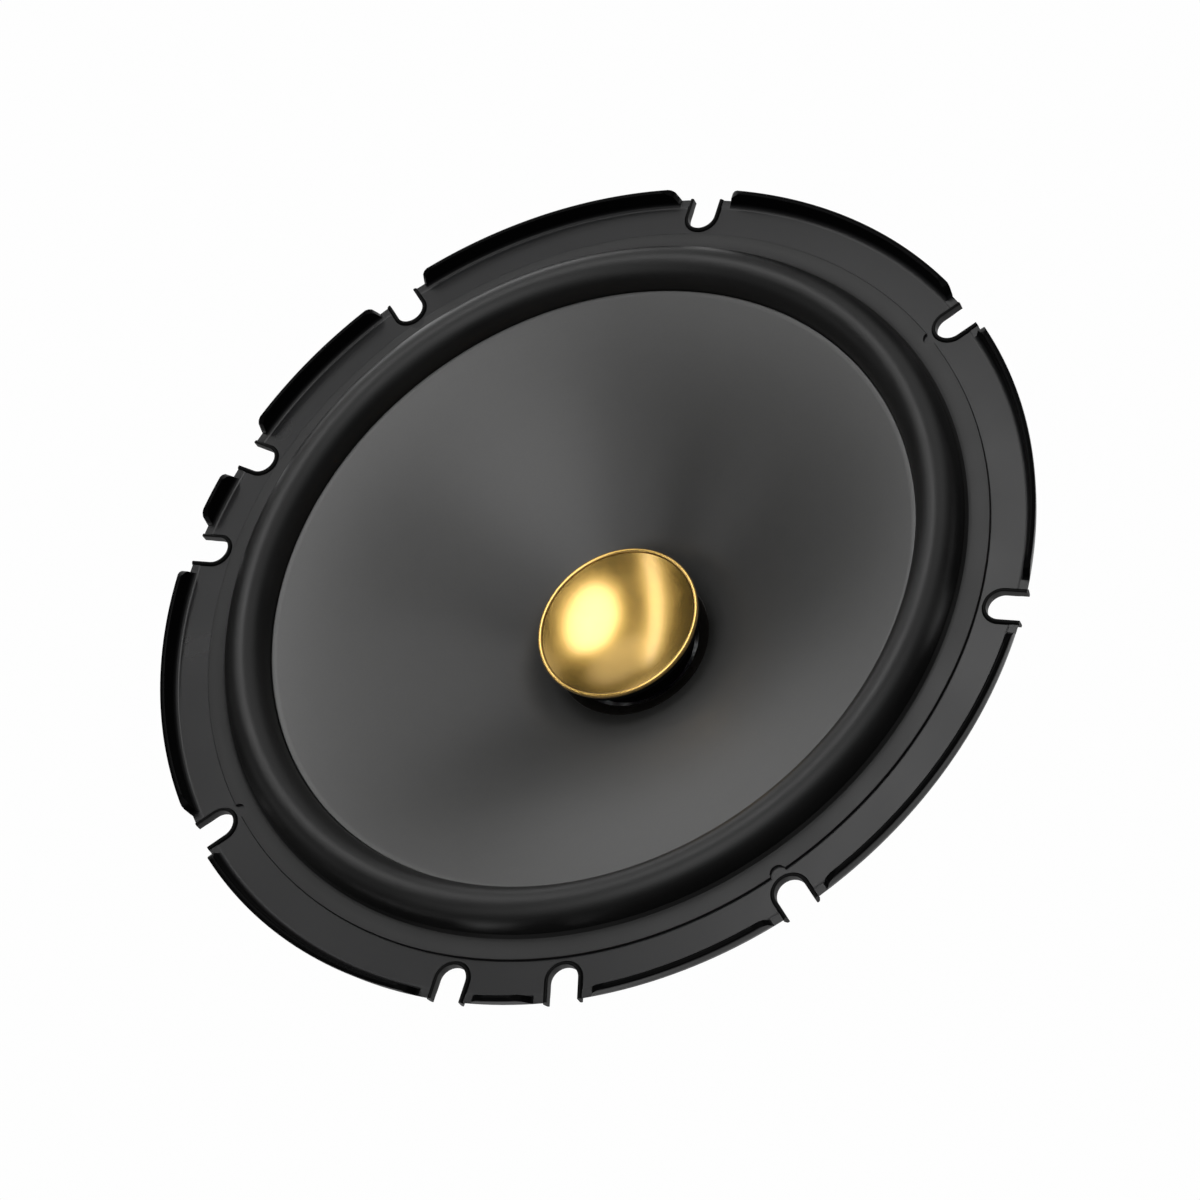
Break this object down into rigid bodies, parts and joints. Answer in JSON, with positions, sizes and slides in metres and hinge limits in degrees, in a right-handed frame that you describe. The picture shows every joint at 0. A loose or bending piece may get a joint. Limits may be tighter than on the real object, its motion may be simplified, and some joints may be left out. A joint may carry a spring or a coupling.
{
  "type": "coaxial car speaker",
  "caption": "Round coaxial car loudspeaker with a slotted flange, half-roll surround, deep cone and a post-mounted tweeter at its centre.",
  "frame": {"origin": "centre of the rear face of the yoke, which is the bottom centre of the part's box", "axes": "+Z along the loudspeaker's axis towards the front, +X through one of the ten screw slots, +Y over the terminal board"},
  "size_m": [0.1644, 0.1644, 0.0628],
  "materials": {
    "black_paint": "satin",
    "black_rubber": "satin",
    "cone_composite": "matte",
    "spider_cloth": "matte",
    "former_film": "satin",
    "copper_winding": "satin",
    "zinc_plated_steel": "satin",
    "ferrite": "matte",
    "board_plastic": "matte",
    "tinned_brass": "satin",
    "capacitor_sleeve": "satin",
    "tinsel_braid": "satin",
    "brass": "satin",
    "black_plastic": "satin",
    "nickel_plate": "polished",
    "gold_tweeter": "satin",
    "suspension_film": "matte",
    "red_insulation": "satin",
    "black_insulation": "satin"
  },
  "bodies": {
    "chassis": {"basket": "black_paint", "surround": "black_rubber", "spider": "spider_cloth", "top_plate": "zinc_plated_steel", "magnet": "ferrite", "yoke": "zinc_plated_steel", "basket_rivet_1": "zinc_plated_steel", "basket_rivet_2": "zinc_plated_steel", "basket_rivet_3": "zinc_plated_steel", "basket_rivet_4": "zinc_plated_steel", "terminal_board": "board_plastic", "terminal_positive": "tinned_brass", "terminal_negative": "tinned_brass", "board_rivet_1": "zinc_plated_steel", "board_rivet_2": "zinc_plated_steel", "crossover_capacitor": "capacitor_sleeve", "tinsel_lead_positive": "tinsel_braid", "tinsel_lead_negative": "tinsel_braid", "tweeter_post": "zinc_plated_steel", "post_nut": "zinc_plated_steel", "tweeter_housing": "black_plastic", "tweeter_pot": "zinc_plated_steel", "tweeter_magnet": "nickel_plate", "tweeter_plate": "zinc_plated_steel", "tweeter_suspension": "suspension_film", "tweeter_bezel": "gold_tweeter", "tweeter_wire_positive": "red_insulation", "tweeter_wire_negative": "black_insulation"},
    "cone_assembly": {"cone": "cone_composite", "voice_coil_former": "former_film", "voice_coil": "copper_winding", "lead_eyelet_positive": "brass", "lead_eyelet_negative": "brass"},
    "tweeter_dome": {"tweeter_diaphragm": "gold_tweeter", "tweeter_voice_coil": "copper_winding"}
  },
  "joints": [
    {"name": "cone_travel", "type": "slide", "parent": "chassis", "child": "cone_assembly", "axis": [0, 0, 1], "range_m": [-0.004, 0.004], "stiffness_N_per_m": 1800, "deforming": ["surround", "spider", "tinsel_lead_positive", "tinsel_lead_negative"]},
    {"name": "tweeter_travel", "type": "slide", "parent": "chassis", "child": "tweeter_dome", "axis": [0, 0, 1], "range_m": [-0.0003, 0.0003], "stiffness_N_per_m": 100, "deforming": ["tweeter_suspension"]}
  ]
}
